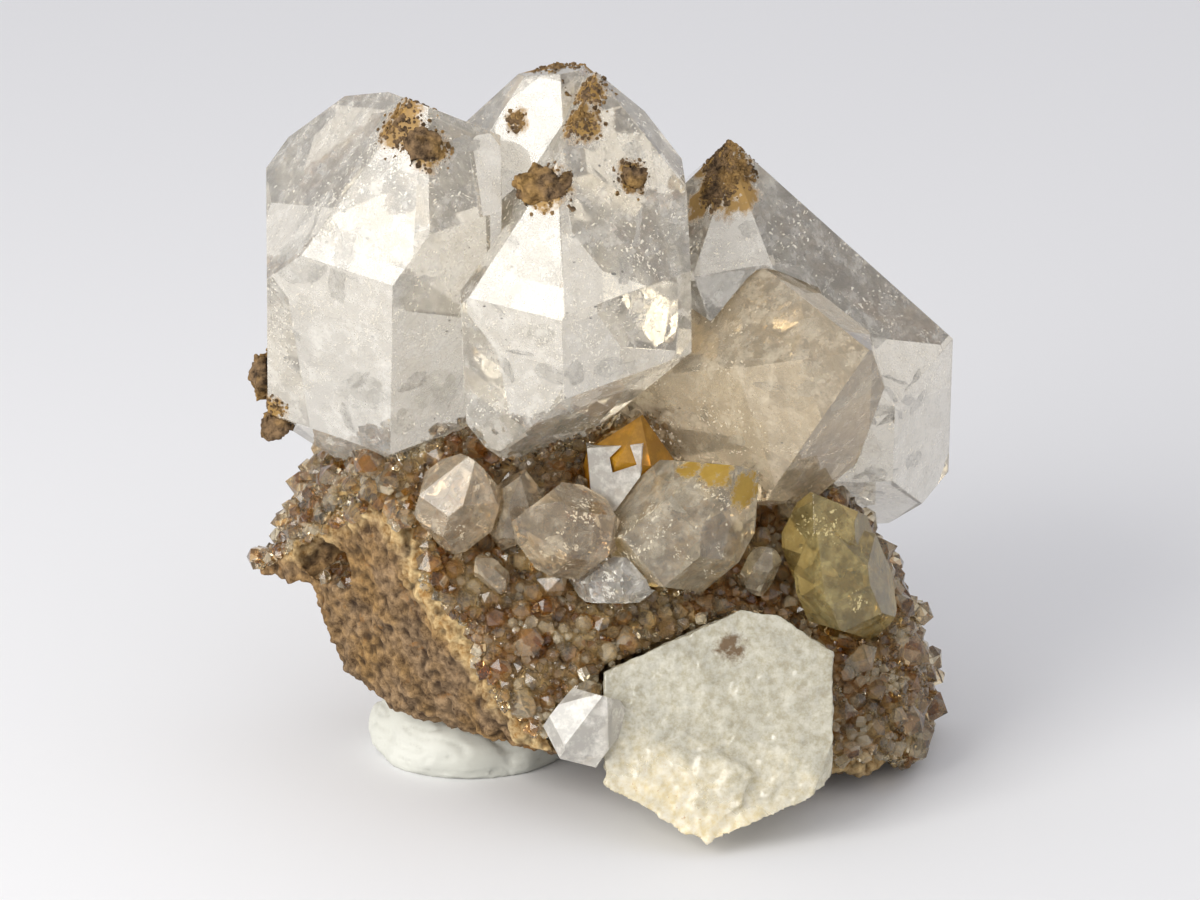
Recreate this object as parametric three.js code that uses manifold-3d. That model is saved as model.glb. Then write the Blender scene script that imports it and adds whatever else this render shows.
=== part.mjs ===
// Quartz crystal cluster on a plate of brown dolostone, standing on a pinch of display putty.
// Millimetres, +Z up, +X to the right, +Y away from the viewer. The cluster stands on z = 0.

import * as THREE from 'three';
import { ConvexGeometry } from 'three/addons/geometries/ConvexGeometry.js';
import { ImprovedNoise } from 'three/addons/math/ImprovedNoise.js';
import { mergeVertices } from 'three/addons/utils/BufferGeometryUtils.js';
import Module from 'manifold-3d';

const wasm = await Module();
wasm.setup();

// Driving dimensions
const FIT_GAP = 0.3; // free space between a crystal and the rock it sits in
const RHOMB_ANGLE = 51.79; // degrees from the c axis to a quartz rhombohedral face's normal
const FACE_STEP = 60; // degrees from one prism face to the next
const CRUST_THICKNESS = 1.3; // of the druse, from the rock to the foot of its crystals
const CRUST_SITES = 210; // evenly spread places about the rock, with a small crystal where the druse is
const GOLDEN_ANGLE = Math.PI * (3 - Math.sqrt(5));
const PUTTY = { at: [-11.6, 4.6, 1.5], half: [8.7, 8.2, 4.8] };

// Finishes
const FINISH = {
  rock: { color: 0x77604a, roughness: 0.95, metalness: 0 },
  druse: { color: 0x9a835c, roughness: 0.35, metalness: 0 },
  clear: { color: 0xe4e2dd, roughness: 0.08, metalness: 0 },
  smoky: { color: 0xc9b69b, roughness: 0.08, metalness: 0 },
  honey: { color: 0xd2b46a, roughness: 0.1, metalness: 0 },
  milky: { color: 0xe9e7de, roughness: 0.35, metalness: 0 },
  clay: { color: 0x7a5a34, roughness: 0.95, metalness: 0 },
  putty: { color: 0xd6d9d0, roughness: 0.8, metalness: 0 },
};

// The rock: a centre and the broad faces that bound it.
// Each face has a direction and a distance from the centre.
const ROCK = {
  centre: [0, 3, 13],
  edgeSharpness: 26, // the higher, the crisper the edges between the broad faces
  druseFaces: [
    { toward: [0.23, -0.82, 0.52], distance: 9 }, // the crystal plate
    { toward: [0, -0.05, 1], distance: 17.5 }, // top
    { toward: [0.82, 0.05, 0.57], distance: 21.6 }, // right shoulder
    { toward: [0.97, -0.15, 0.1], distance: 26 }, // right end
    { toward: [-0.69, 0.0, 0.72], distance: 24 }, // upper left rim
  ],
  bareFaces: [
    { toward: [-0.68, -0.72, -0.12], distance: 16.8 }, // broken left front
    { toward: [-0.136, 0, -0.99], distance: 9.7 }, // underside
    { toward: [0.1, 0.97, -0.2], distance: 13 }, // back
    { toward: [-0.85, 0.2, -0.49], distance: 22 }, // left end
    { toward: [-0.09, -0.39, -0.91], distance: 12 }, // undercut below the plate
  ],
  ledge: [ // overhanging edge at the upper left, by a point on each of its faces
    { toward: [-0.69, 0, 0.72], point: [-17, 3, 28.9] },
    { toward: [-1, -0.1, 0.15], point: [-30.3, 7, 16] },
    { toward: [0.05, -0.1, -1], point: [-28, 6, 15.2] },
    { toward: [-0.68, -0.72, -0.12], point: [-26, 3.8, 17] },
    { toward: [-0.2, 1, 0], point: [-28, 12, 17] },
    { toward: [1, 0, 0], point: [-20, 6, 17] },
  ],
  notch: { at: [-24.4, 2, 18.5], half: [3.5, 3.6, 2.2] }, // hollow under the ledge
  detail: 8, // subdivisions of the surface
  lumps: { size: 9, height: 0.9 },
  grit: { size: 2.4, height: 0.35 },
};

const vec = (p) => new THREE.Vector3(...p);
const radians = THREE.MathUtils.degToRad;
const noise = new ImprovedNoise();

// Solids

// A closed three.js geometry as a solid that can be cut and joined.
function solidOf(geometry) {
  const bare = geometry.clone();
  bare.deleteAttribute('normal');
  bare.deleteAttribute('uv');
  const merged = mergeVertices(bare, 1e-4);
  return new wasm.Manifold(
    new wasm.Mesh({
      numProp: 3,
      vertProperties: merged.attributes.position.array,
      triVerts: new Uint32Array(merged.index.array),
    }),
  );
}

// A solid back as a three.js geometry.
function geometryOf(solid) {
  const mesh = solid.getMesh();
  const geometry = new THREE.BufferGeometry();
  geometry.setAttribute('position', new THREE.Float32BufferAttribute(mesh.vertProperties, 3));
  geometry.setIndex(new THREE.Uint32BufferAttribute(mesh.triVerts, 1));
  return geometry.toNonIndexed();
}

// The largest of the separate bodies that a cut leaves.
function largestBody(solid) {
  return solid.decompose().sort((a, b) => b.volume() - a.volume())[0];
}

// The convex solid that lies behind every plane of a list.
function solidBehind(planes) {
  const corners = [];
  const inside = (p) => planes.every((plane) => plane.distanceToPoint(p) < 1e-4);
  for (let i = 0; i < planes.length; i++)
    for (let j = i + 1; j < planes.length; j++)
      for (let k = j + 1; k < planes.length; k++) {
        const rows = [planes[i], planes[j], planes[k]];
        const m = new THREE.Matrix3().set(...rows.flatMap((plane) => plane.normal.toArray()));
        if (Math.abs(m.determinant()) < 1e-5) continue;
        const p = new THREE.Vector3(...rows.map((plane) => -plane.constant)).applyMatrix3(m.invert());
        const known = corners.some((q) => q.distanceTo(p) < 1e-3);
        if (!known && inside(p)) corners.push(p);
      }
  return solidOf(new ConvexGeometry(corners));
}

const planeAt = (normal, point) => new THREE.Plane().setFromNormalAndCoplanarPoint(normal, point);

// Crystals

// A quartz crystal: six prism faces and a six-sided point at each end, at quartz's own angles.
// at is its middle and axis its c axis.
// spin turns the first prism face about the axis, from the viewer's side.
// prism, top and bottom give each face's distance from the middle, or one distance for all six.
// broken lists flat breaks and contact faces, each with a direction and a distance.
function quartz({ at, axis, spin, prism, top, bottom, broken = [], swell = 0 }) {
  const middle = vec(at);
  const c = vec(axis).normalize();
  const front = new THREE.Vector3(0, -1, 0).projectOnPlane(c).normalize();
  const side = new THREE.Vector3().crossVectors(c, front);
  const six = (value) => (Array.isArray(value) ? value : Array(6).fill(value));
  const planes = [];
  const addFace = (normal, distance) =>
    planes.push(planeAt(normal, middle.clone().addScaledVector(normal, distance + swell)));
  for (let k = 0; k < 6; k++) {
    const turn = radians(spin + FACE_STEP * k);
    const outward = front.clone().multiplyScalar(Math.cos(turn)).addScaledVector(side, Math.sin(turn));
    const tilted = (end) =>
      outward.clone().multiplyScalar(Math.sin(radians(RHOMB_ANGLE)))
        .addScaledVector(c, end * Math.cos(radians(RHOMB_ANGLE)));
    addFace(outward, six(prism)[k]);
    addFace(tilted(1), six(top)[k]);
    addFace(tilted(-1), six(bottom)[k]);
  }
  for (const { toward, distance } of broken) addFace(vec(toward).normalize(), distance);
  return solidBehind(planes);
}

// A tabular crystal: a broad front face with a rim of bevelled faces. at is on the front face.
// Each rim face has an angle in the front face, a distance and a slant to the front.
// The angle runs anticlockwise from the front face's right.
function tablet({ at, face, thickness, rim, swell = 0 }) {
  const normal = vec(face).normalize();
  const right = new THREE.Vector3().crossVectors(new THREE.Vector3(0, 0, 1), normal).normalize();
  const up = new THREE.Vector3().crossVectors(normal, right);
  const origin = vec(at);
  const planes = [
    planeAt(normal, origin.clone().addScaledVector(normal, swell)),
    planeAt(normal.clone().negate(), origin.clone().addScaledVector(normal, -thickness - swell)),
  ];
  for (const [angle, distance, slant] of rim) {
    const outward = right.clone().multiplyScalar(Math.cos(radians(angle)))
      .addScaledVector(up, Math.sin(radians(angle)));
    const tilted = outward.clone().multiplyScalar(Math.cos(radians(slant)))
      .addScaledVector(normal, Math.sin(radians(slant)));
    const edge = origin.clone().addScaledVector(outward, distance).addScaledVector(tilted, swell);
    planes.push(planeAt(tilted, edge));
  }
  return solidBehind(planes);
}

// Where a small crystal sits: on the plate at a given x and z, lifted off it by a given height.
function onPlate(x, z, lift) {
  const plate = ROCK.druseFaces[0];
  const normal = vec(plate.toward).normalize();
  const level = plate.distance + normal.dot(vec(ROCK.centre));
  const y = (level - normal.x * x - normal.z * z) / normal.y;
  return new THREE.Vector3(x, y, z).addScaledVector(normal, lift).toArray();
}

// A small crystal by its half width across the prism and the half length of its prism.
// Its faces differ a little from each other, as they do in nature.
function smallQuartz({ at, axis, spin, halfWidth, halfPrism, uneven = 0.12 }) {
  const point = halfPrism * Math.cos(radians(RHOMB_ANGLE)) + halfWidth * Math.sin(radians(RHOMB_ANGLE));
  const vary = (k, phase) => 1 + uneven * Math.sin(2.4 * k + phase + at[0] + at[2]);
  const faces = (distance, phase) => Array.from({ length: 6 }, (_, k) => distance * vary(k, phase));
  return { at, axis, spin, prism: faces(halfWidth, 0), top: faces(point, 1.3), bottom: faces(point, 2.9) };
}

// The crystals, by node. Crystals listed together have grown into each other.
const CRYSTALS = {
  large_crystal_pair: {
    finish: 'clear',
    grown: [
      { // left
        at: [-18.5, 2.5, 42], axis: [0.04, -0.31, 0.95], spin: -25.7,
        prism: [7.8, 8, 9.5, 11, 17, 10.3],
        top: [11.8, 14.4, 18, 15.6, 18.3, 11.5],
        bottom: [11.6, 11.7, 11, 11, 14, 14],
        broken: [{ toward: [0.36, 0.27, 0.89], distance: 17.6 }],
      },
      { // right
        at: [-2, 0.5, 43.5], axis: [-0.02, -0.22, 0.97], spin: -27.1,
        prism: [10, 8.3, 9.6, 10, 10.5, 10],
        top: [10.6, 9.5, 13.8, 16.5, 17.5, 10.1],
        bottom: [14.2, 8.6, 9.5, 11, 11, 13],
      },
      { // rear
        at: [-4, 8.5, 46], axis: [-0.02, -0.22, 0.97], spin: -27.1,
        prism: [7, 7.4, 7.4, 6.5, 9, 9.4],
        top: [12.3, 13, 13, 12.5, 11.8, 12.4],
        bottom: [11, 11, 11, 11, 11, 11],
        broken: [{ toward: [-0.12, 0.1, 0.98], distance: 16.2 }],
      },
    ],
  },
  smoky_crystal: {
    finish: 'smoky',
    grown: [
      {
        at: [15.5, 0.5, 37.5], axis: [0.88, -0.39, 0.27], spin: -57.6,
        prism: [5.7, 6.2, 11.4, 13, 7, 8.4],
        top: [12, 12, 7.6, 13, 6.5, 6.8],
        bottom: [14, 14, 14, 11, 11, 14],
        broken: [
          { toward: [-0.602, -0.413, 0.683], distance: 5.8 }, // left upper face
          { toward: [-0.577, -0.787, -0.219], distance: 6.2 }, // left lower face
          { toward: [0.96, 0, 0.27], distance: 8.4 }, // right end
          { toward: [0.98, 0, -0.19], distance: 9 },
        ],
      },
    ],
  },
  back_crystal: {
    finish: 'clear',
    grown: [
      {
        at: [20, 13.5, 35.5], axis: [-0.02, -0.3, 0.95], spin: 0,
        prism: [10, 10, 10, 9, 14, 14],
        top: [14, 7.8, 7.8, 14, 19, 19],
        bottom: [13, 17.2, 17.2, 13, 13, 13],
      },
    ],
  },
  front_milky_crystal: {
    finish: 'milky',
    grown: [
      { // tablet
        at: [10, -15, 10], face: [0, -0.88, 0.47], thickness: 8,
        rim: [
          [0, 10, -4],
          [-22, 9.6, 30],
          [54.9, 11.2, 5],
          [79.6, 10.7, 0],
          [114.6, 8.6, 5],
          [180, 9.7, 0],
          [240, 8.9, -32],
          [-66.4, 8.6, -32],
        ],
      },
      { // frosted lower lobe
        at: [6.6, -17.4, 5.6], face: [-0.08, -0.9, 0.43], thickness: 4,
        rim: [
          [-17, 5.6, 40],
          [60, 4.4, 50],
          [120, 4, 50],
          [180, 4.6, 30],
          [235, 3, -25],
          [-90, 4, -30],
          [-50, 4.4, 20],
        ],
      },
      smallQuartz({ // clear crystal at its left
        at: [-1.2, -13.5, 9.6], axis: [0.35, -0.5, 0.79], spin: 10, halfWidth: 3.2, halfPrism: 1.5,
      }),
    ],
  },
  amber_crystal: {
    finish: 'honey',
    grown: [
      smallQuartz({
        at: onPlate(6, 22.2, 5), axis: [0.66, -0.25, 0.7],
        spin: -15, halfWidth: 5, halfPrism: 3.2,
      }),
    ],
  },
  rear_amber_crystal: {
    finish: 'honey',
    grown: [
      smallQuartz({
        at: onPlate(2, 27.4, 2), axis: [0.2, -0.2, 0.96],
        spin: 5, halfWidth: 3.4, halfPrism: 1.6,
      }),
    ],
  },
  bright_block_crystal: {
    finish: 'clear',
    grown: [
      {
        at: onPlate(0, 26, 5.2), face: [-0.15, -0.93, 0.33], thickness: 3,
        rim: [
          [0, 2.3, 10],
          [98, 2.9, 10],
          [188, 2.1, 10],
          [-60, 2.9, 10],
          [-120, 2.7, 10],
        ],
      },
    ],
  },
  right_honey_stack: {
    finish: 'honey',
    grown: [
      smallQuartz({
        at: onPlate(19.2, 19.4, 4), axis: [-0.3, -0.2, 0.93],
        spin: 8, halfWidth: 3.3, halfPrism: 2.4,
      }),
      smallQuartz({
        at: onPlate(20.6, 16.6, 3.8), axis: [-0.35, -0.25, 0.9],
        spin: 12, halfWidth: 3.7, halfPrism: 2.6,
      }),
    ],
  },
  left_small_crystal: {
    finish: 'clear',
    grown: [
      smallQuartz({
        at: onPlate(-13, 25.6, 3.4), axis: [0.25, -0.3, 0.92],
        spin: -32, halfWidth: 3.1, halfPrism: 1.9,
      }),
    ],
  },
  middle_small_crystals: {
    finish: 'clear',
    grown: [
      smallQuartz({
        at: onPlate(-8.1, 24.8, 3.2), axis: [0.2, -0.2, 0.96],
        spin: 12, halfWidth: 2.3, halfPrism: 1.5,
      }),
      smallQuartz({
        at: onPlate(-3.6, 22.6, 4.6), axis: [-0.86, -0.42, 0.28],
        spin: 20, halfWidth: 3.4, halfPrism: 1.9,
      }),
    ],
  },
  white_edged_crystal: {
    finish: 'clear',
    grown: [
      smallQuartz({
        at: onPlate(0.5, 18.9, 3.2), axis: [0.93, -0.3, 0.1],
        spin: 15, halfWidth: 2.1, halfPrism: 1.9,
      }),
    ],
  },
  left_sliver_crystal: {
    finish: 'clear',
    grown: [
      smallQuartz({
        at: onPlate(-9.8, 20.4, 2.2), axis: [-0.6, -0.3, 0.74],
        spin: 0, halfWidth: 1.05, halfPrism: 1.2,
      }),
    ],
  },
  right_sliver_crystal: {
    finish: 'honey',
    grown: [
      smallQuartz({
        at: onPlate(13.2, 18.4, 3), axis: [0.3, -0.3, 0.9],
        spin: 0, halfWidth: 1.3, halfPrism: 1.5,
      }),
    ],
  },
};

// Scraps of rock that still cling to the large crystals: a middle and half sizes.
const SCRAPS = {
  scrap_left_upper: { at: [-29.6, 3, 36], half: [1.1, 1.8, 2.3] },
  scrap_left_lower: { at: [-28.2, 2.6, 31.6], half: [1.8, 1.9, 1.6] },
  scrap_left_top: { at: [-14.8, -4.9, 58.8], half: [2, 1.2, 2] },
  scrap_right_front: { at: [-4.4, -4.6, 55.3], half: [2.9, 1.7, 1.8] },
  scrap_right_side: { at: [2.7, -2, 55.3], half: [1.7, 1.3, 1.2] },
};

const bodyOf = (crystal, swell = 0) =>
  crystal.rim ? tablet({ ...crystal, swell }) : quartz({ ...crystal, swell });

// The rock and what covers it

// The rock's surface in a direction from its centre.
// It gives how far out the surface is and how much it belongs to the druse.
function rockSurface(direction) {
  const reach = ({ toward, distance }) => Math.max(0, vec(toward).normalize().dot(direction) / distance);
  const druse = ROCK.druseFaces.map(reach);
  const bare = ROCK.bareFaces.map(reach);
  const sum = [...druse, ...bare].reduce((total, r) => total + r ** ROCK.edgeSharpness, 0);
  const radius = sum ** (-1 / ROCK.edgeSharpness);
  const p = direction.clone().multiplyScalar(radius);
  const rough = ({ size, height }) => height * noise.noise(p.x / size + 7, p.y / size + 3, p.z / size + 5);
  const lead = (Math.max(...druse) - Math.max(...bare)) * radius;
  return {
    radius: radius + rough(ROCK.lumps) + rough(ROCK.grit),
    druse: THREE.MathUtils.smoothstep(lead, -0.03, 0.05),
  };
}

// A closed shell about the rock's centre whose radius follows a function of the direction.
function rockShell(radiusAt) {
  const geometry = new THREE.IcosahedronGeometry(1, ROCK.detail);
  const position = geometry.attributes.position;
  const direction = new THREE.Vector3();
  for (let i = 0; i < position.count; i++) {
    direction.fromBufferAttribute(position, i).normalize();
    const p = direction.clone().multiplyScalar(radiusAt(direction)).add(vec(ROCK.centre));
    position.setXYZ(i, p.x, p.y, p.z);
  }
  return solidOf(geometry);
}

// A lump: an ellipsoid with an uneven skin.
function lump({ at, half }, detail, bump, size) {
  const geometry = new THREE.IcosahedronGeometry(1, detail);
  const position = geometry.attributes.position;
  const p = new THREE.Vector3();
  for (let i = 0; i < position.count; i++) {
    p.fromBufferAttribute(position, i).normalize().multiply(vec(half)).add(vec(at));
    const swell = 1 + bump * noise.noise(p.x / size, p.y / size, p.z / size);
    p.sub(vec(at)).multiplyScalar(swell).add(vec(at));
    position.setXYZ(i, p.x, p.y, p.z);
  }
  return solidOf(geometry);
}

// A block with the given middle and sizes.
function block(at, sizes) {
  return solidOf(new THREE.BoxGeometry(...sizes).translate(...at));
}

// One small crystal of the druse: a six-sided point that stands on the crust.
function drusePoint(foot, toward, radius, height) {
  const geometry = new THREE.ConeGeometry(radius, height, 6);
  geometry.translate(0, height / 2, 0);
  const turn = new THREE.Quaternion().setFromUnitVectors(new THREE.Vector3(0, 1, 0), toward);
  geometry.applyQuaternion(turn);
  geometry.translate(foot.x, foot.y, foot.z);
  return solidOf(geometry);
}

const underground = block([0, 0, -20], [200, 200, 40]);
const ledge = (swell) =>
  solidBehind(ROCK.ledge.map(({ toward, point }) => {
    const normal = vec(toward).normalize();
    return planeAt(normal, vec(point).addScaledVector(normal, swell));
  }));
const rock = rockShell((direction) => rockSurface(direction).radius)
  .add(ledge(0))
  .subtract(lump(ROCK.notch, 2, 0.3, 3))
  .subtract(underground);
const clearance = rockShell((direction) => rockSurface(direction).radius + FIT_GAP).add(ledge(FIT_GAP));

// The druse starts below the bare rock's surface, so it ends in a thin edge where the bare rock begins.
const crustRadius = (direction) => {
  const { radius, druse } = rockSurface(direction);
  return radius + THREE.MathUtils.lerp(-1, CRUST_THICKNESS, druse);
};
let crust = rockShell(crustRadius);
for (let i = 0; i < CRUST_SITES; i++) {
  const z = 1 - (2 * i + 1) / CRUST_SITES;
  const turn = i * GOLDEN_ANGLE;
  const flat = Math.sqrt(1 - z * z);
  const direction = new THREE.Vector3(flat * Math.cos(turn), flat * Math.sin(turn), z);
  if (rockSurface(direction).druse < 0.9) continue;
  const foot = direction.clone().multiplyScalar(crustRadius(direction) - 0.5).add(vec(ROCK.centre));
  const lean = new THREE.Vector3(Math.sin(i * 1.7), Math.sin(i * 2.9), Math.sin(i * 4.3));
  lean.multiplyScalar(0.5);
  const size = 0.75 + 0.45 * Math.sin(i * 5.1);
  crust = crust.add(drusePoint(foot, direction.clone().add(lean).normalize(), size, 1.9 * size));
}

// Assembly
const cluster = new THREE.Group();

function addPiece(name, solid, finish) {
  const mesh = new THREE.Mesh(geometryOf(solid), new THREE.MeshStandardMaterial(FINISH[finish]));
  mesh.name = name;
  cluster.add(mesh);
}

// Each crystal gives way to those listed before it, and leaves room for itself in the rock.
let taken = null;
for (const [name, { finish, grown }] of Object.entries(CRYSTALS)) {
  const joined = grown.map((crystal) => bodyOf(crystal)).reduce((a, b) => a.add(b));
  const swollen = grown.map((crystal) => bodyOf(crystal, FIT_GAP)).reduce((a, b) => a.add(b));
  const fitted = taken ? largestBody(joined.subtract(taken)) : joined;
  addPiece(name, fitted.subtract(underground), finish);
  taken = taken ? taken.add(swollen) : swollen;
}

for (const [name, scrap] of Object.entries(SCRAPS))
  addPiece(name, largestBody(lump(scrap, 2, 0.5, 1.4).subtract(taken)), 'clay');

addPiece('matrix', largestBody(rock.subtract(taken)), 'rock');
const fittedCrust = crust.subtract(clearance).subtract(taken).subtract(underground);
addPiece('druse_crust', largestBody(fittedCrust), 'druse');

const putty = lump(PUTTY, 5, 0.12, 4).subtract(underground).subtract(clearance);
addPiece('display_putty', largestBody(putty), 'putty');

// The origin is on the ground, below the middle of the cluster's outline.
const outline = new THREE.Box3().setFromObject(cluster);
const middle = outline.getCenter(new THREE.Vector3());
for (const piece of cluster.children) piece.geometry.translate(-middle.x, -middle.y, -outline.min.z);

export default cluster;
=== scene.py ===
import math
import random

import bmesh
import bpy
from mathutils import Matrix, Vector, noise
from mathutils.bvhtree import BVHTree


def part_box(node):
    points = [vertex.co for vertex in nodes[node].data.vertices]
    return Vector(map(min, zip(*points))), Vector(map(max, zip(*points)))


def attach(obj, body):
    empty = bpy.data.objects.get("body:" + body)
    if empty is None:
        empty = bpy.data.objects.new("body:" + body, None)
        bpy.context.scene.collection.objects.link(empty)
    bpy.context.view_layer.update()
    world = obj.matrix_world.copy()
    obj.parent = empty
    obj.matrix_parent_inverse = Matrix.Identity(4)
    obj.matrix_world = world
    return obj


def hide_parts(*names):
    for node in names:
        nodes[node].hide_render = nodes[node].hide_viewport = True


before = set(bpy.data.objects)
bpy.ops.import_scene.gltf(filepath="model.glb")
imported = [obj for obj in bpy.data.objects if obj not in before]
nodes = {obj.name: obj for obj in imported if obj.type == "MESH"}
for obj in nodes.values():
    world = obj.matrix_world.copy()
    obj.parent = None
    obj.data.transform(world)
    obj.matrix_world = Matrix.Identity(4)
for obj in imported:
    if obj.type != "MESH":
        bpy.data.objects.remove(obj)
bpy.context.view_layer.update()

mm = 0.001
scene = bpy.context.scene
upright = Vector((0, 0, 1))
rockCentre = Vector((-0.442, 0.317, 13.0)) * mm


def linear(hexColour):
    channels = [int(hexColour[i:i + 2], 16) / 255 for i in (1, 3, 5)]
    return tuple(c / 12.92 if c <= 0.04045 else ((c + 0.055) / 1.055) ** 2.4 for c in channels) + (1.0,)


def addNode(material, kind, inputs=None, **settings):
    made = material.node_tree.nodes.new("ShaderNode" + kind)
    for name, value in settings.items():
        setattr(made, name, value)
    for key, value in (inputs or {}).items():
        if isinstance(value, bpy.types.NodeSocket):
            material.node_tree.links.new(value, made.inputs[key])
        else:
            made.inputs[key].default_value = value
    return made


def newMaterial(name):
    material = bpy.data.materials.new(name)
    material.use_nodes = True
    material.node_tree.nodes.clear()
    return material


def perMetre(sizeMm):
    return 1 / (sizeMm * mm)  # texture scale of a pattern with features of sizeMm


def finishPiece(name, bm, material, replaced=(), smooth=False):
    mesh = bpy.data.meshes.new(name)
    bm.to_mesh(mesh)
    bm.free()
    mesh.materials.append(material)
    for polygon in mesh.polygons:
        polygon.use_smooth = smooth
    piece = bpy.data.objects.new(name, mesh)
    scene.collection.objects.link(piece)
    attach(piece, "root")
    if replaced:
        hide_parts(*replaced)
    mesh.calc_loop_triangles()
    print("  %s: %d triangles" % (name, len(mesh.loop_triangles)))
    return piece


def copyOf(nodeName):
    bm = bmesh.new()
    bm.from_mesh(nodes[nodeName].data)
    bmesh.ops.remove_doubles(bm, verts=bm.verts, dist=1e-6)
    return bm


def treeOf(nodeName):
    bm = copyOf(nodeName)
    tree = BVHTree.FromBMesh(bm)
    bm.free()
    return tree


def depthIn(tree, point, reach=20 * mm):
    # how far a point lies below a solid's surface, negative outside
    spot, normal, _, distance = tree.find_nearest(point, reach)
    if spot is None:
        return -reach
    return distance if (point - spot).dot(normal) < 0 else -distance


def randomTurn(rng):
    return Vector((rng.gauss(0, 1), rng.gauss(0, 1), rng.gauss(0, 1))).normalized()


def plant(bm, template, place, axis, spin, scale):
    # adds one copy of a small template mesh, standing along axis
    stand = axis.to_track_quat("Z", "Y").to_matrix().to_4x4() @ Matrix.Rotation(spin, 4, "Z")
    pose = Matrix.Translation(place) @ stand @ Matrix.Diagonal((*scale, 1))
    template.transform(pose)
    bm.from_mesh(template)
    template.transform(pose.inverted())


def denseSkin(bm, voxelMm):
    # an even, fine skin over closed solids, to be shaped point by point
    mesh = bpy.data.meshes.new("rough")
    bm.to_mesh(mesh)
    bm.free()
    rough = bpy.data.objects.new("rough", mesh)
    scene.collection.objects.link(rough)
    skin = rough.modifiers.new("skin", "REMESH")
    skin.mode = "VOXEL"
    skin.voxel_size = voxelMm * mm
    dense = bmesh.new()
    dense.from_mesh(rough.evaluated_get(bpy.context.evaluated_depsgraph_get()).to_mesh())
    bpy.data.objects.remove(rough)
    bpy.data.meshes.remove(mesh)
    dense.normal_update()
    return dense


def raiseSkin(bm, heightAt):
    # moves each point along its normal by a height in mm
    for vert, height in [(v, heightAt(v.co / mm)) for v in bm.verts]:
        vert.co += vert.normal * height * mm
        vert.co.z = max(vert.co.z, 0)  # nothing goes through the floor
    bm.normal_update()


def meetSolid(bm, tree, within, sink):
    # closes the fitting gap: points near a neighbour are drawn onto it, a little inside
    for vert in bm.verts:
        spot, normal, _, distance = tree.find_nearest(vert.co, within * mm)
        if spot is not None:
            vert.co = spot - normal * sink * mm


trees = {name: treeOf(name) for name in nodes}
print("frame: %d solids" % len(nodes))


# camera, floor and light
view = {
    "target": Vector((-0.442, -2.683, 30.0)) * mm,
    "distance": 390 * mm,
    "elevation": 20,
    "lens": 134.55,
}


def placeCamera():
    tilt = math.radians(view["elevation"])
    back = Vector((0, -math.cos(tilt), math.sin(tilt)))
    data = bpy.data.cameras.new("camera")
    data.lens = view["lens"]
    data.sensor_width = 36
    data.sensor_fit = "HORIZONTAL"
    camera = bpy.data.objects.new("camera", data)
    scene.collection.objects.link(camera)
    camera.location = view["target"] + back * view["distance"]
    camera.rotation_euler = back.to_track_quat("Z", "Y").to_euler()
    scene.camera = camera


studio = {
    "floorColour": "#f1f1f2",
    "worldColour": "#e2e2e6",
    "worldStrength": 0.88,
    "aim": Vector((0, 0, 30)) * mm,
    "lights": {
        # place in mm, size in mm, radiance, colour
        "softbox": ((-290, -280, 235), (260, 300), 6.5, "#fffdf8"),
        "rightFill": ((520, -260, 260), (260, 420), 0.3, "#ffffff"),
    },
}


def lightStudio():
    bm = bmesh.new()
    bmesh.ops.create_grid(bm, x_segments=8, y_segments=8, size=1.6)
    mesh = bpy.data.meshes.new("floor")
    bm.to_mesh(mesh)
    bm.free()
    paper = newMaterial("matt_studio_paper")  # matt seamless paper, a soft even white
    shader = addNode(paper, "BsdfPrincipled", {
        "Base Color": linear(studio["floorColour"]), "Roughness": 0.6, "Specular IOR Level": 0.2})
    addNode(paper, "OutputMaterial", {"Surface": shader.outputs[0]})
    mesh.materials.append(paper)
    floor = bpy.data.objects.new("floor", mesh)
    scene.collection.objects.link(floor)

    world = bpy.data.worlds.new("studio")
    world.use_nodes = True
    background = world.node_tree.nodes["Background"]
    background.inputs["Color"].default_value = linear(studio["worldColour"])
    background.inputs["Strength"].default_value = studio["worldStrength"]
    scene.world = world

    for name, (place, size, radiance, colour) in studio["lights"].items():
        data = bpy.data.lights.new(name, "AREA")
        data.shape = "RECTANGLE"
        data.size, data.size_y = size[0] * mm, size[1] * mm
        data.energy = radiance * math.pi * data.size * data.size_y
        data.color = linear(colour)[:3]
        lamp = bpy.data.objects.new(name, data)
        scene.collection.objects.link(lamp)
        lamp.location = Vector(place) * mm
        lamp.rotation_euler = (studio["aim"] - lamp.location).to_track_quat("-Z", "Y").to_euler()
    scene.view_settings.view_transform = "Standard"
    scene.cycles.diffuse_bounces = 2  # the glass needs the depth, the matt pieces don't
    scene.cycles.max_bounces = 10


placeCamera()
lightStudio()
print("studio: camera, floor and %d lights" % len(studio["lights"]))


# solids by their faces, in the millimetres of the photo's frame
toPart = Vector((-0.442, -2.683, 0))
rhombTilt = math.radians(51.79)  # quartz: from the c axis to a point face's normal


def quartzFaces(at, axis, spin, halfWidth, halfPrism, uneven=0.12):
    c = Vector(axis).normalized()
    front = Vector((0, -1, 0)) - c * c.dot(Vector((0, -1, 0)))
    front.normalize()
    side = c.cross(front)
    point = halfPrism * math.cos(rhombTilt) + halfWidth * math.sin(rhombTilt)
    faces = []
    for k in range(6):
        turn = math.radians(spin + 60 * k)
        outward = front * math.cos(turn) + side * math.sin(turn)
        for end, distance, phase in ((0, halfWidth, 0), (1, point, 1.3), (-1, point, 2.9)):
            normal = outward * math.sin(rhombTilt) + c * end * math.cos(rhombTilt) if end else outward
            reach = distance * (1 + uneven * math.sin(2.4 * k + phase + at[0] + at[2]))
            faces.append((normal, Vector(at) + normal * reach))
    return faces


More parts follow.
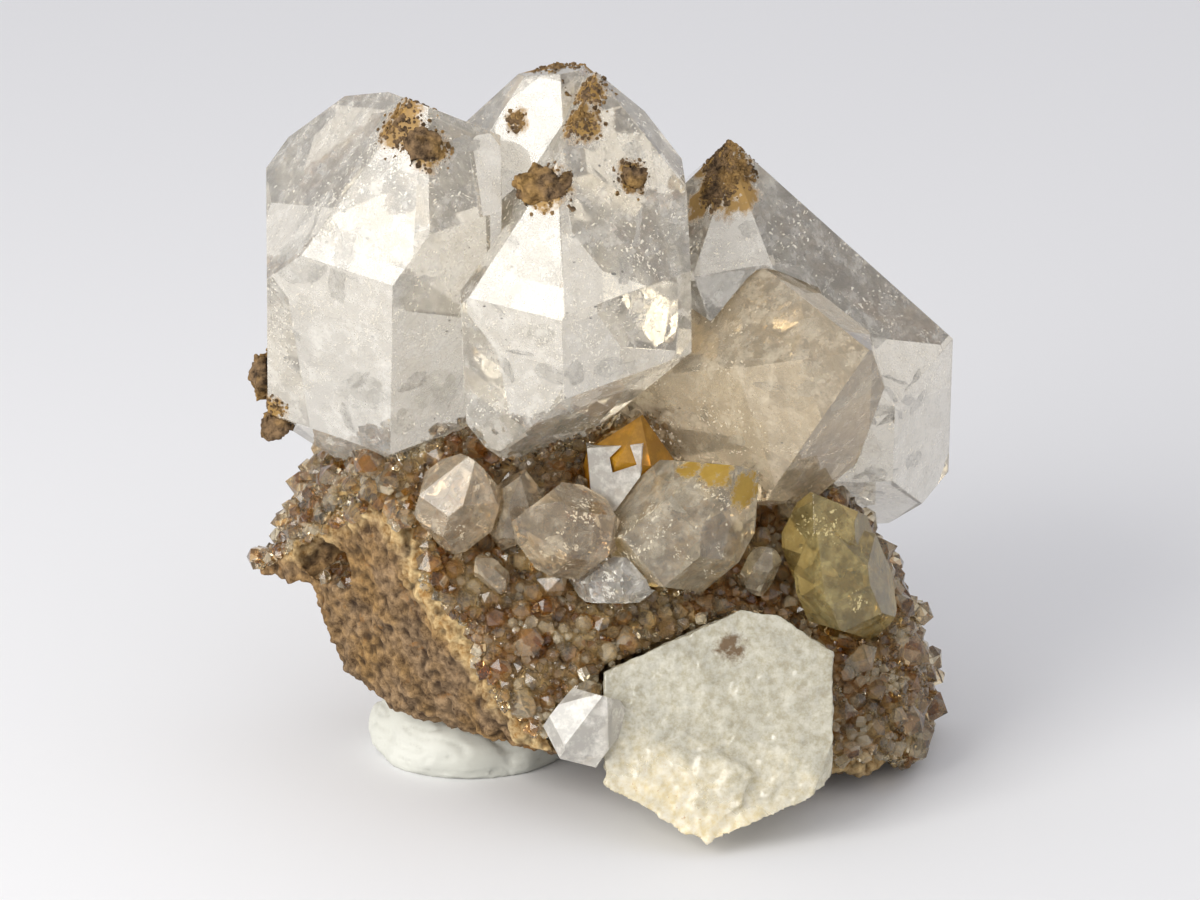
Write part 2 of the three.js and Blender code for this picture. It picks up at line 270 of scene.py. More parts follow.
def tabletFaces(at, face, thickness, rim):
    normal = Vector(face).normalized()
    right = upright.cross(normal).normalized()
    up = normal.cross(right)
    middle = Vector(at)
    faces = [(normal, middle), (-normal, middle - normal * thickness)]
    for angle, distance, slant in rim:
        outward = right * math.cos(math.radians(angle)) + up * math.sin(math.radians(angle))
        tilted = outward * math.cos(math.radians(slant)) + normal * math.sin(math.radians(slant))
        faces.append((tilted, middle + outward * distance))
    return faces


def cutSolid(faces, blockMm=60):
    # a block cut back to every face of the list
    bm = bmesh.new()
    bmesh.ops.create_cube(bm, size=blockMm * mm, matrix=Matrix.Translation((faces[0][1] + toPart) * mm))
    for normal, point in faces:
        cut = bmesh.ops.bisect_plane(bm, geom=bm.verts[:] + bm.edges[:] + bm.faces[:], dist=1e-7,
                                     plane_co=(point + toPart) * mm, plane_no=normal, clear_outer=True)
        rim = [e for e in cut["geom_cut"] if isinstance(e, bmesh.types.BMEdge)]
        if rim:
            bmesh.ops.contextual_create(bm, geom=rim)
    bmesh.ops.recalc_face_normals(bm, faces=bm.faces)
    return bm


# quartz
def spotMask(material, place, spots, ragged):
    # 1 inside ragged patches, each a middle and a radius in mm
    grit = addNode(material, "TexNoise", {
        "Vector": place, "Scale": perMetre(ragged), "Detail": 4, "Roughness": 0.75})
    mask = None
    for at, radius in spots:
        away = addNode(material, "VectorMath", {0: place, 1: Vector(at) * mm}, operation="DISTANCE")
        near = addNode(material, "MapRange", {
            "Value": away.outputs["Value"], "From Min": 1.4 * radius * mm, "From Max": 0.3 * radius * mm})
        mask = near.outputs[0] if mask is None else addNode(
            material, "Math", {0: mask, 1: near.outputs[0]}, operation="MAXIMUM").outputs[0]
    both = addNode(material, "Math", {0: mask, 1: grit.outputs["Fac"]}, operation="MULTIPLY")
    return addNode(material, "MapRange", {
        "Value": both.outputs[0], "From Min": 0.27, "From Max": 0.42}).outputs[0]


def quartzMaterial(name, look):
    # clear quartz: glassy growth faces that refract, with a thin white haze of healed cracks
    material = newMaterial(name)
    place = addNode(material, "TexCoord").outputs["Object"]
    veil = addNode(material, "TexNoise", {
        "Vector": place, "Scale": perMetre(look["veilSize"]), "Detail": 4, "Roughness": 0.75})
    clarity = addNode(material, "MapRange", {
        "Value": veil.outputs["Fac"], "From Min": 0.45, "From Max": 0.72,
        "To Min": look["clearest"], "To Max": look["haziest"]}).outputs[0]
    waves = addNode(material, "TexNoise", {
        "Vector": place, "Scale": perMetre(look["waveSize"]), "Detail": 1})
    bump = addNode(material, "Bump", {
        "Strength": look["waveStrength"], "Distance": look["waveHeight"] * mm,
        "Height": waves.outputs["Fac"]})
    colour, rough = linear(look["colour"]), look["roughness"]
    if look.get("stains"):
        mask = spotMask(material, place, look["stains"], look["stainGrit"])
        dark, light = look["stainTones"]
        iron = addNode(material, "Mix", {
            "Factor": veil.outputs["Fac"], "A": linear(dark), "B": linear(light)}, data_type="RGBA")
        stained = addNode(material, "Mix", {
            "Factor": mask, "A": linear(look["colour"]), "B": iron.outputs["Result"]}, data_type="RGBA")
        colour = stained.outputs["Result"]
        clarity = addNode(material, "Mix", {
            "Factor": mask, "A": clarity, "B": look["stainClarity"]}).outputs["Result"]
        rough = addNode(material, "MapRange", {
            "Value": mask, "To Min": look["roughness"], "To Max": 0.6}).outputs[0]
    shader = addNode(material, "BsdfPrincipled", {
        "Base Color": colour, "Roughness": rough, "IOR": 1.544,
        "Transmission Weight": clarity, "Normal": bump.outputs[0]})
    output = addNode(material, "OutputMaterial", {"Surface": shader.outputs[0]})
    if look.get("absorb"):
        tint = addNode(material, "VolumeAbsorption", {
            "Color": linear(look["absorb"]), "Density": look["density"]})
        material.node_tree.links.new(tint.outputs[0], output.inputs["Volume"])
    return material


clearLook = {"colour": "#fcf8ef", "roughness": 0.02, "veilSize": 1.8, "clearest": 0.84, "haziest": 0.56,
             "waveSize": 3, "waveHeight": 0.04, "waveStrength": 0.15, "absorb": "#f4e6c4", "density": 13,
             "stainTones": ("#6b4a22", "#d3a551"), "stainClarity": 0.25}
quartzLooks = {
    "clear_quartz": clearLook,
    "bright_quartz": {**clearLook, "clearest": 0.66, "haziest": 0.3, "veilSize": 1.4},
    "stained_clear_quartz": {**clearLook, "stainGrit": 1.4, "stains": [
        ((-17.2, -6.0, 60.5), 3.6), ((-14.6, -8.0, 58.6), 2.6), ((-20.0, -4.5, 60.0), 1.8),
        ((-4.9, -7.7, 55.3), 3.0), ((2.3, -4.8, 55.3), 2.2), ((-2.1, -4.3, 60.2), 3.0),
        ((-1.4, -2.0, 62.2), 2.4), ((-7.6, -0.7, 59.2), 1.8), ((-6.0, 4.0, 62.5), 2.2),
        ((-1.5, 4.0, 62.5), 2.2),
        ((-28.5, -1.0, 33.5), 2.2), ((-29.5, 0.3, 37.0), 2.0)]},
    "stained_back_quartz": {**clearLook, "stainGrit": 1.4, "stains": [
        ((10.1, 3.6, 53.8), 4.2), ((9.5, 2.7, 51.9), 3.4), ((11.2, 2.4, 52.0), 3.4),
        ((8.2, 3.1, 50.5), 2.4)]},
    "warm_quartz": {**clearLook, "colour": "#efe0c4", "absorb": "#e0c189", "density": 60},
    "smoky_quartz": {**clearLook, "colour": "#f6e9cf", "clearest": 0.8, "haziest": 0.52,
                     "absorb": "#dcbe88", "density": 16},
    "honey_quartz": {**clearLook, "colour": "#f6ead0", "clearest": 0.86, "haziest": 0.6,
                     "absorb": "#e8cf86", "density": 26, "stainGrit": 1.2,
                     "stainTones": ("#b98416", "#f2cd52"), "stainClarity": 0.55, "stains": [
                         ((9.4, -11.0, 31.2), 2.4), ((12.0, -9.6, 28.9), 2.8), ((7.2, -10.2, 31.2), 1.6)]},
    "amber_quartz": {**clearLook, "colour": "#f0b23a", "clearest": 0.62, "haziest": 0.35,
                     "absorb": "#e09a26", "density": 90},
    "olive_quartz": {**clearLook, "colour": "#ddcb8c", "clearest": 0.84, "haziest": 0.55,
                     "absorb": "#cdb04c", "density": 90},
}
quartz = {name: quartzMaterial(name, look) for name, look in quartzLooks.items()}

crystals = {
    # piece: node, slot, material, edge width in mm
    "left_and_right_crystal": ("large_crystal_pair", "clear_quartz", "stained_clear_quartz", 0.12),
    "tall_back_crystal": ("back_crystal", "clear_quartz", "stained_back_quartz", 0.12),
    "tan_side_crystal": ("smoky_crystal", "smoky_quartz", "smoky_quartz", 0.1),
    "honey_crystal": ("amber_crystal", "honey_quartz", "honey_quartz", 0.1),
    "rear_honey_crystal": ("rear_amber_crystal", "honey_quartz", "amber_quartz", 0.08),
    "bright_block": ("bright_block_crystal", "clear_quartz", "bright_quartz", 0.08),
    "honey_stack": ("right_honey_stack", "honey_quartz", "olive_quartz", 0.08),
    "left_small_quartz": ("left_small_crystal", "clear_quartz", "warm_quartz", 0.06),
    "middle_small_quartz": ("middle_small_crystals", "clear_quartz", "warm_quartz", 0.06),
    "white_edged_quartz": ("white_edged_crystal", "clear_quartz", "clear_quartz", 0.06),
    "left_sliver": ("left_sliver_crystal", "clear_quartz", "warm_quartz", 0.05),
    "right_sliver": ("right_sliver_crystal", "honey_quartz", "honey_quartz", 0.05),
}


def wearEdges(bm, edgeWidth):
    sharp = [e for e in bm.edges if len(e.link_faces) == 2
             and e.calc_face_angle() > math.radians(6) and e.calc_length() > 8 * edgeWidth * mm]
    bmesh.ops.bevel(bm, geom=sharp, offset=edgeWidth * mm, offset_type="OFFSET", segments=2, profile=0.5,
                    affect="EDGES", material=-1, clamp_overlap=True)


for name, (nodeName, slotName, finish, edgeWidth) in crystals.items():
    bm = copyOf(nodeName)
    bmesh.ops.dissolve_limit(bm, angle_limit=math.radians(0.5), verts=bm.verts, edges=bm.edges)
    wearEdges(bm, edgeWidth)
    finishPiece(name, bm, quartz[finish], [nodeName])
print("quartz: %d crystals" % len(crystals))


# the milky crystal in front, and the clear one grown into its left edge
milky = {
    "tablet": dict(at=(10, -15, 10), face=(0, -0.88, 0.47), thickness=8, rim=[
        (0, 10, -4), (-22, 9.6, 30), (54.9, 11.2, 5), (79.6, 10.7, 0),
        (114.6, 8.6, 5), (180, 9.7, 0), (240, 8.9, -32), (-66.4, 8.6, -32)]),
    "lobe": dict(at=(6.6, -17.4, 5.6), face=(-0.08, -0.9, 0.43), thickness=4, rim=[
        (-17, 5.6, 40), (60, 4.4, 50), (120, 4, 50), (180, 4.6, 30),
        (235, 3, -25), (-90, 4, -30), (-50, 4.4, 20)]),
    "clear": dict(at=(-1.2, -13.5, 9.6), axis=(0.35, -0.5, 0.79), spin=10, halfWidth=3.2, halfPrism=1.5),
    "voxel": 0.18,
    "frostTop": 11.0,  # height below which the face is etched, at the middle of the part
    "frostSlope": 0.216,  # and its fall to the right
}


def milkyMaterial():
    # milky quartz: icy and half clear with bright flecks above, frosted cream below
    material = newMaterial("milky_frosted_quartz")
    place = addNode(material, "TexCoord").outputs["Object"]
    apart = addNode(material, "SeparateXYZ", {0: place})
    height = addNode(material, "Math", {
        0: apart.outputs["X"], 1: milky["frostSlope"], 2: apart.outputs["Z"]}, operation="MULTIPLY_ADD")
    cloud = addNode(material, "TexNoise", {
        "Vector": place, "Scale": perMetre(3.5), "Detail": 4, "Roughness": 0.65, "Distortion": 0.4})
    level = addNode(material, "MapRange", {
        "Value": height.outputs[0], "From Min": 14 * mm, "From Max": 3 * mm, "To Min": -0.15, "To Max": 0.6})
    frost = addNode(material, "Math", {0: level.outputs[0], 1: cloud.outputs["Fac"]}, operation="ADD")
    frosted = addNode(material, "MapRange", {
        "Value": frost.outputs[0], "From Min": 0.5, "From Max": 1.05}).outputs[0]
    fine = addNode(material, "TexNoise", {
        "Vector": place, "Scale": perMetre(0.8), "Detail": 4, "Roughness": 0.8})
    fleck = addNode(material, "MapRange", {
        "Value": fine.outputs["Fac"], "From Min": 0.36, "From Max": 0.62}).outputs[0]
    ice = addNode(material, "Mix", {
        "Factor": fleck, "A": linear("#d9d1b6"), "B": linear("#fffbe9")}, data_type="RGBA")
    cream = addNode(material, "Mix", {
        "Factor": fleck, "A": linear("#efdcaa"), "B": linear("#fff6de")}, data_type="RGBA")
    body = addNode(material, "Mix", {
        "Factor": frosted, "A": ice.outputs["Result"], "B": cream.outputs["Result"]}, data_type="RGBA")
    grit = addNode(material, "TexNoise", {
        "Vector": place, "Scale": perMetre(0.7), "Detail": 3, "Roughness": 0.7})
    speck = addNode(material, "MapRange", {
        "Value": grit.outputs["Fac"], "From Min": 0.64, "From Max": 0.72, "To Min": 0.0, "To Max": 0.8})
    low = addNode(material, "Math", {0: speck.outputs[0], 1: frosted}, operation="MULTIPLY")
    stained = addNode(material, "Mix", {
        "Factor": low.outputs[0], "A": body.outputs["Result"], "B": linear("#c08a3a")}, data_type="RGBA")
    spot = spotMask(material, place, [((10.7, -15.0, 16.6), 2.2)], 1.2)
    colour = addNode(material, "Mix", {
        "Factor": spot, "A": stained.outputs["Result"], "B": linear("#8a7052")}, data_type="RGBA")
    cloudy = addNode(material, "MapRange", {
        "Value": cloud.outputs["Fac"], "From Min": 0.35, "From Max": 0.65, "To Min": 0.58, "To Max": 0.4})
    clarity = addNode(material, "Mix", {
        "Factor": frosted, "A": cloudy.outputs[0], "B": 0.2}).outputs["Result"]
    rough = addNode(material, "MapRange", {"Value": frosted, "To Min": 0.1, "To Max": 0.42}).outputs[0]
    bump = addNode(material, "Bump", {"Strength": 0.4, "Distance": 0.08 * mm, "Height": fine.outputs["Fac"]})
    shader = addNode(material, "BsdfPrincipled", {
        "Base Color": colour.outputs["Result"], "Roughness": rough, "IOR": 1.544,
        "Transmission Weight": clarity, "Normal": bump.outputs[0]})
    addNode(material, "OutputMaterial", {"Surface": shader.outputs[0]})
    return material


def milkyHeight(p):
    wave = 0.18 * noise.noise(p / 2.4) + 0.12 * noise.noise(p / 0.9) + 0.06 * noise.noise(p / 0.45)
    below = milky["frostTop"] + 2 * noise.noise(p / 3) - p.z - milky["frostSlope"] * p.x
    etched = min(1, max(0, below / 4))
    pits = noise.voronoi(p / 0.8)[0][0] - 0.4
    return wave + etched * (0.3 * noise.noise(p / 1.3) - 0.25 * max(0, pits)) - 0.08


both = bmesh.new()
for form in ("tablet", "lobe"):
    solid = cutSolid(tabletFaces(**milky[form]))
    part = bpy.data.meshes.new(form)
    solid.to_mesh(part)
    solid.free()
    both.from_mesh(part)
    bpy.data.meshes.remove(part)
frosted = denseSkin(both, milky["voxel"])
raiseSkin(frosted, milkyHeight)
finishPiece("milky_front_crystal", frosted, milkyMaterial(), ["front_milky_crystal"],
            smooth=True)
clearTwin = cutSolid(quartzFaces(**milky["clear"]))
wearEdges(clearTwin, 0.07)
finishPiece("clear_side_crystal", clearTwin, quartz["bright_quartz"], ["front_milky_crystal"])
print("milky crystal: done")


# the rock
rock = {
    "voxel": 0.3,
    "grain": 0.85,  # sugary grains of the broken rock, in mm
    "rimWidth": 3.4,  # pale ochre band below the druse
}


def rockMaterial():
    # dolostone, freshly broken: dull sugary grey brown, with painted shade that darkens its pits, and rusty
    # spots
    material = newMaterial("broken_dolostone")
    place = addNode(material, "TexCoord").outputs["Object"]
    broad = addNode(material, "TexNoise", {
        "Vector": place, "Scale": perMetre(5), "Detail": 4, "Roughness": 0.6})
    fine = addNode(material, "TexNoise", {
        "Vector": place, "Scale": perMetre(1.0), "Detail": 5, "Roughness": 0.8})
    grain = addNode(material, "MapRange", {
        "Value": fine.outputs["Fac"], "From Min": 0.36, "From Max": 0.64}).outputs[0]
    brown = addNode(material, "Mix", {
        "Factor": grain, "A": linear("#453221"), "B": linear("#a78b69")}, data_type="RGBA")
    tan = addNode(material, "Mix", {
        "Factor": grain, "A": linear("#574025"), "B": linear("#b28e5c")}, data_type="RGBA")
    patchy = addNode(material, "MapRange", {
        "Value": broad.outputs["Fac"], "From Min": 0.4, "From Max": 0.6})
    body = addNode(material, "Mix", {
        "Factor": patchy.outputs[0], "A": brown.outputs["Result"],
        "B": tan.outputs["Result"]}, data_type="RGBA")
    iron = addNode(material, "TexNoise", {
        "Vector": place, "Scale": perMetre(2.2), "Detail": 5, "Roughness": 0.7})
    rusty = addNode(material, "MapRange", {
        "Value": iron.outputs["Fac"], "From Min": 0.6, "From Max": 0.7, "To Min": 0.0, "To Max": 0.75})
    withRust = addNode(material, "Mix", {
        "Factor": rusty.outputs[0], "A": body.outputs["Result"], "B": linear("#9c6a30")}, data_type="RGBA")
    rim = addNode(material, "Attribute", attribute_name="rim").outputs["Fac"]
    loose = addNode(material, "Math", {0: rim, 1: broad.outputs["Fac"]}, operation="MULTIPLY")
    edge = addNode(material, "MapRange", {
        "Value": loose.outputs[0], "From Min": 0.1, "From Max": 0.3, "To Min": 0.0, "To Max": 0.9})
    ochre = addNode(material, "Mix", {
        "Factor": grain, "A": linear("#a07842"), "B": linear("#ead09c")}, data_type="RGBA")
    rimmed = addNode(material, "Mix", {
        "Factor": edge.outputs[0], "A": withRust.outputs["Result"],
        "B": ochre.outputs["Result"]}, data_type="RGBA")
    # painted shade: the colour is darkened in the hollows between grains
    painted_pit_shade = addNode(material, "Attribute", attribute_name="painted_pit_shade").outputs["Fac"]
    colour = addNode(material, "Mix", {
        "Factor": painted_pit_shade, "A": rimmed.outputs["Result"], "B": linear("#2c1e12")}, data_type="RGBA")
    bump = addNode(material, "Bump", {"Strength": 0.8, "Distance": 0.2 * mm, "Height": fine.outputs["Fac"]})
    shader = addNode(material, "BsdfPrincipled", {
        "Base Color": colour.outputs["Result"], "Roughness": 0.92, "Specular IOR Level": 0.3,
        "Normal": bump.outputs[0]})
    addNode(material, "OutputMaterial", {"Surface": shader.outputs[0]})
    return material


def rockGrains(p):
    return 0.45 - noise.voronoi(p / rock["grain"])[0][0] + 0.5 * noise.noise(p / 0.6)


def rockHeight(p):
    chips = 0.4 * noise.noise(p / 3.2) + 0.3 * noise.noise(p / 1.4)
    return 0.5 * rockGrains(p) + chips - 0.2


broken = denseSkin(copyOf("matrix"), rock["voxel"])
rimLayer = broken.verts.layers.float.new("rim")
# painted shade: how low each point sits between grains, used to darken its colour
pitShadeLayer = broken.verts.layers.float.new("painted_pit_shade")
for vert in broken.verts:
    away = trees["druse_crust"].find_nearest(vert.co, 6 * mm)[3]
    vert[rimLayer] = 0 if away is None else max(0, 1 - away / (rock["rimWidth"] * mm))
    vert[pitShadeLayer] = min(0.85, max(0, -1.6 * rockGrains(vert.co / mm)))
raiseSkin(broken, rockHeight)
stone = rockMaterial()
finishPiece("dolostone_plate", broken, stone, ["matrix"], smooth=True)
print("rock: done")


# druse
druse = {
    "voxel": 0.45,
    # tries and radius range in mm, largest first
    "sizes": [(90, 1.1, 1.5), (700, 0.7, 1.0), (8000, 0.42, 0.66), (14000, 0.24, 0.4)],
    "packing": 0.74,  # spacing as a share of the two radii
    "lean": 0.55,
    "floorGap": 0.3,  # no point comes nearer to the floor, in mm
    "seed": 11,
}


def druseGroundMaterial():
    # iron stained quartz crust: brown and olive, glossy between the points, its dark brown partly painted
    # shade between the points
    material = newMaterial("stained_druse_ground_with_painted_shade")
    place = addNode(material, "TexCoord").outputs["Object"]
    broad = addNode(material, "TexNoise", {
        "Vector": place, "Scale": perMetre(4), "Detail": 4, "Roughness": 0.65})
    fine = addNode(material, "TexNoise", {
        "Vector": place, "Scale": perMetre(1.1), "Detail": 4, "Roughness": 0.75})
    patchy = addNode(material, "MapRange", {
        "Value": broad.outputs["Fac"], "From Min": 0.38, "From Max": 0.62})
    grain = addNode(material, "MapRange", {
        "Value": fine.outputs["Fac"], "From Min": 0.36, "From Max": 0.62})
    olive = addNode(material, "Mix", {
        "Factor": patchy.outputs[0], "A": linear("#a06a22"), "B": linear("#d9bd86")}, data_type="RGBA")
    # the dark brown is partly the crust's iron stain and partly painted shade between the points
    colour = addNode(material, "Mix", {
        "Factor": grain.outputs[0], "A": linear("#4a3417"), "B": olive.outputs["Result"]}, data_type="RGBA")
    bump = addNode(material, "Bump", {"Strength": 0.8, "Distance": 0.2 * mm, "Height": fine.outputs["Fac"]})
    shader = addNode(material, "BsdfPrincipled", {
        "Base Color": colour.outputs["Result"], "Roughness": 0.35, "Normal": bump.outputs[0]})
    addNode(material, "OutputMaterial", {"Surface": shader.outputs[0]})
    return material


def drusePointMaterial():
    # small quartz points: clear to honey, each grain its own tone
    material = newMaterial("druse_quartz_points")
    place = addNode(material, "TexCoord").outputs["Object"]
    tone = addNode(material, "TexVoronoi", {"Vector": place, "Scale": perMetre(1.3)})
    pick = addNode(material, "SeparateColor", {0: tone.outputs["Color"]})
    warm = addNode(material, "MapRange", {
        "Value": pick.outputs[0], "From Min": 0.55, "From Max": 1.0})
    colour = addNode(material, "Mix", {
        "Factor": warm.outputs[0], "A": linear("#fdefcf"), "B": linear("#c98d38")}, data_type="RGBA")
    clarity = addNode(material, "MapRange", {
        "Value": pick.outputs[1], "From Min": 0.0, "From Max": 0.5, "To Min": 0.7, "To Max": 0.96})
    shader = addNode(material, "BsdfPrincipled", {
        "Base Color": colour.outputs["Result"], "Roughness": 0.04, "IOR": 1.544,
        "Transmission Weight": clarity.outputs[0]})
    addNode(material, "OutputMaterial", {"Surface": shader.outputs[0]})
    return material


def drusePoint(name, tipHeight, shiftX, shiftY):
    # a short six sided prism with a sharp point, one unit in radius
    bm = bmesh.new()
    bmesh.ops.create_cone(bm, cap_ends=True, segments=6, radius1=0.9, radius2=1.0, depth=1.2)
    top = max(bm.faces, key=lambda f: f.calc_center_median().z)
    tip = bmesh.ops.poke(bm, faces=[top], offset=tipHeight)["verts"]
    bmesh.ops.translate(bm, vec=(shiftX, shiftY, 0), verts=tip)
    template = bpy.data.meshes.new(name)
    bm.to_mesh(template)
    bm.free()
    return template


def surfacePoints(nodeName, keep, tries, rng):
    # places spread evenly by area over the wanted triangles of a solid
    bm = copyOf(nodeName)
    wanted = [f for f in bm.faces if keep(f)]
    spread = rng.choices(wanted, weights=[f.calc_area() for f in wanted], k=tries)
    found = []
    for f in spread:
        a, b = sorted((rng.random(), rng.random()))
        corners = [v.co for v in f.verts]
        found.append((corners[0] * a + corners[1] * (b - a) + corners[2] * (1 - b), f.normal.copy()))
    bm.free()
    return found


crystalNodes = [row[0] for row in crystals.values()] + ["front_milky_crystal"]


def growDruse():
    rng = random.Random(druse["seed"])
    templates = [drusePoint("point%d" % i, *shape) for i, shape in enumerate(
        ((0.75, 0.0, 0.1), (0.6, 0.4, 0.1), (0.85, -0.2, 0.25), (0.55, 0.1, -0.45)))]
    bm = bmesh.new()
    taken = {}
    outer = lambda f: f.normal.dot(f.calc_center_median() - rockCentre) > 6 * mm
    shelf = lambda f: f.normal.dot(Vector((-0.69, 0, 0.72))) > 0.8 and f.calc_center_median().x < -19.5 * mm
    count = 0
    for nodeName, keep, share in (("druse_crust", outer, 1.0), ("matrix", shelf, 0.05)):
        for tries, small, large in druse["sizes"]:
            for place, normal in surfacePoints(nodeName, keep, int(tries * share), rng):
                radius = rng.uniform(small, large) * mm
                cell = tuple(int(c // (2 * mm)) for c in place)
                near = [other for dx in (-1, 0, 1) for dy in (-1, 0, 1) for dz in (-1, 0, 1)
                        for other in taken.get((cell[0] + dx, cell[1] + dy, cell[2] + dz), ())]
                if any((place - spot).length < druse["packing"] * (radius + wide) for spot, wide in near):
                    continue
                if any(depthIn(trees[n], place, 2 * mm) > -0.55 * radius for n in crystalNodes):
                    continue
                outward = (place - rockCentre).normalized() + normal
                axis = (outward + randomTurn(rng) * druse["lean"] * 2).normalized()
                length = radius * rng.uniform(0.75, 1.35)
                if min(place.z - radius, (place + axis * 1.8 * length).z) < druse["floorGap"] * mm:
                    continue
                taken.setdefault(cell, []).append((place, radius))
                template = rng.choice(templates)
                plant(bm, template, place, axis, rng.uniform(0, math.pi), (radius, radius, length))
                count += 1
    print("  %d druse points" % count)
    return bm


ground = denseSkin(copyOf("druse_crust"), druse["voxel"])
raiseSkin(ground, lambda p: 0.2 * noise.noise(p / 1.2) - 0.2)
finishPiece("druse_ground", ground, druseGroundMaterial(), ["druse_crust"], smooth=True)
finishPiece("druse_points", growDruse(), drusePointMaterial(), ["druse_crust"])
print("druse: done")


# brown rock that clings to the large crystals
clay = {
    "voxel": 0.22,
    "seed": 5,
    "scraps": ["scrap_left_upper", "scrap_left_lower", "scrap_left_top", "scrap_right_front",
               "scrap_right_side"],
    # host, middle in mm, radius in mm, grains
    "patches": [
        ("large_crystal_pair", (-17.2, -6.0, 60.5), 3.6, 260),
        ("large_crystal_pair", (-14.6, -8.0, 58.6), 2.4, 190),
        ("large_crystal_pair", (-4.9, -7.7, 55.3), 3.2, 150),
        ("large_crystal_pair", (2.3, -4.8, 55.3), 2.2, 120),
        ("large_crystal_pair", (-2.1, -4.3, 60.2), 2.8, 170),
        ("large_crystal_pair", (-1.4, -2.0, 62.2), 2.4, 120),
        ("large_crystal_pair", (-7.6, -0.7, 59.2), 1.5, 60),
        ("large_crystal_pair", (-4.0, 4.0, 62.8), 3.8, 160),
        ("large_crystal_pair", (-28.6, -0.6, 33.6), 2.4, 110),
        ("large_crystal_pair", (-29.6, 0.3, 37.0), 1.6, 60),
        ("back_crystal", (10.1, 3.6, 53.8), 3.0, 420),
        ("back_crystal", (9.5, 2.7, 51.9), 2.4, 260),
        ("back_crystal", (11.5, 4.0, 53.4), 2.4, 200)],
    "grain": (0.07, 0.24),
}


def clayMaterial():
    # dolostone scraps: earthy brown, dusty, with ochre and dark grains
    material = newMaterial("earthy_rock_scraps")
    place = addNode(material, "TexCoord").outputs["Object"]
    fine = addNode(material, "TexNoise", {
        "Vector": place, "Scale": perMetre(0.9), "Detail": 4, "Roughness": 0.8})
    broad = addNode(material, "TexNoise", {"Vector": place, "Scale": perMetre(2.5), "Detail": 3})
    grain = addNode(material, "MapRange", {
        "Value": fine.outputs["Fac"], "From Min": 0.36, "From Max": 0.64})
    patchy = addNode(material, "MapRange", {
        "Value": broad.outputs["Fac"], "From Min": 0.45, "From Max": 0.62})
    earth = addNode(material, "Mix", {
        "Factor": grain.outputs[0], "A": linear("#33271b"), "B": linear("#8a7052")}, data_type="RGBA")
    ochre = addNode(material, "Mix", {
        "Factor": grain.outputs[0], "A": linear("#5c4526"), "B": linear("#a98753")}, data_type="RGBA")
    colour = addNode(material, "Mix", {
        "Factor": patchy.outputs[0], "A": earth.outputs["Result"],
        "B": ochre.outputs["Result"]}, data_type="RGBA")
    bump = addNode(material, "Bump", {"Strength": 0.7, "Distance": 0.12 * mm, "Height": fine.outputs["Fac"]})
    shader = addNode(material, "BsdfPrincipled", {
        "Base Color": colour.outputs["Result"], "Roughness": 0.95, "Specular IOR Level": 0.25,
        "Normal": bump.outputs[0]})
    addNode(material, "OutputMaterial", {"Surface": shader.outputs[0]})
    return material


def grainTemplate(name, flat):
    bm = bmesh.new()
    bmesh.ops.create_icosphere(bm, subdivisions=1, radius=1)
    for vert in bm.verts:
        vert.co *= 1 + 0.35 * noise.noise(vert.co * 1.7 + Vector((flat * 9, 0, 0)))
    bmesh.ops.scale(bm, vec=(1, 0.85, flat), verts=bm.verts)
    template = bpy.data.meshes.new(name)
    bm.to_mesh(template)
    bm.free()
    return template


def clingingGrains():
    rng = random.Random(clay["seed"])
    templates = [grainTemplate("grain%d" % i, flat) for i, flat in enumerate((0.35, 0.5, 0.7))]
    bm = bmesh.new()
    for host, middle, radius, count in clay["patches"]:
        for _ in range(count):
            reach = radius * math.sqrt(rng.random()) * (0.6 + 0.4 * rng.random())
            spot, normal = trees[host].find_nearest((Vector(middle) + randomTurn(rng) * reach) * mm)[:2]
            size = rng.uniform(*clay["grain"]) * mm * rng.choice((0.6, 0.8, 1.0, 1.3))
            axis = (normal + randomTurn(rng) * 0.5).normalized()
            template = rng.choice(templates)
            plant(bm, template, spot + normal * 0.15 * size, axis, rng.uniform(0, 6), (size, size, size))
    return bm


def clayHeight(p):
    crumbs = 0.4 - noise.voronoi(p / 0.5)[0][0]
    return 0.3 * crumbs + 0.3 * noise.noise(p / 1.1) + 0.2 * noise.noise(p / 0.4) - 0.2


earth = clayMaterial()
for scrap in clay["scraps"]:
    bm = denseSkin(copyOf(scrap), clay["voxel"])
    meetSolid(bm, trees["large_crystal_pair"], 0.55, 0.05)
    raiseSkin(bm, clayHeight)
    finishPiece("clinging_" + scrap, bm, earth, [scrap], smooth=True)
finishPiece("clinging_grains", clingingGrains(), earth)
print("clinging rock: done")


# what shows inside the crystals
inside = {
    "seed": 23,
    # node: sheets, flakes on each, sheet radius in mm
    "veils": {
        "large_crystal_pair": (60, 110, 6.5), "back_crystal": (22, 100, 5.5), "smoky_crystal": (10, 80, 3.5),
        "amber_crystal": (6, 80, 2.8), "right_honey_stack": (3, 50, 2.2), "left_small_crystal": (3, 50, 1.8),
        "middle_small_crystals": (4, 45, 1.8), "white_edged_crystal": (2, 40, 1.2)},
    "flake": (0.02, 0.15),
    "keepOff": 0.35,  # from the crystal's skin, in mm
    # node: films, radius in mm
    "films": {"large_crystal_pair": (34, 2.4), "back_crystal": (12, 2.4), "smoky_crystal": (7, 1.8),
              "amber_crystal": (5, 1.4), "left_small_crystal": (3, 0.9), "middle_small_crystals": (3, 0.9)},
    "specks": {"large_crystal_pair": 26, "back_crystal": 8, "smoky_crystal": 5, "right_honey_stack": 10},
}


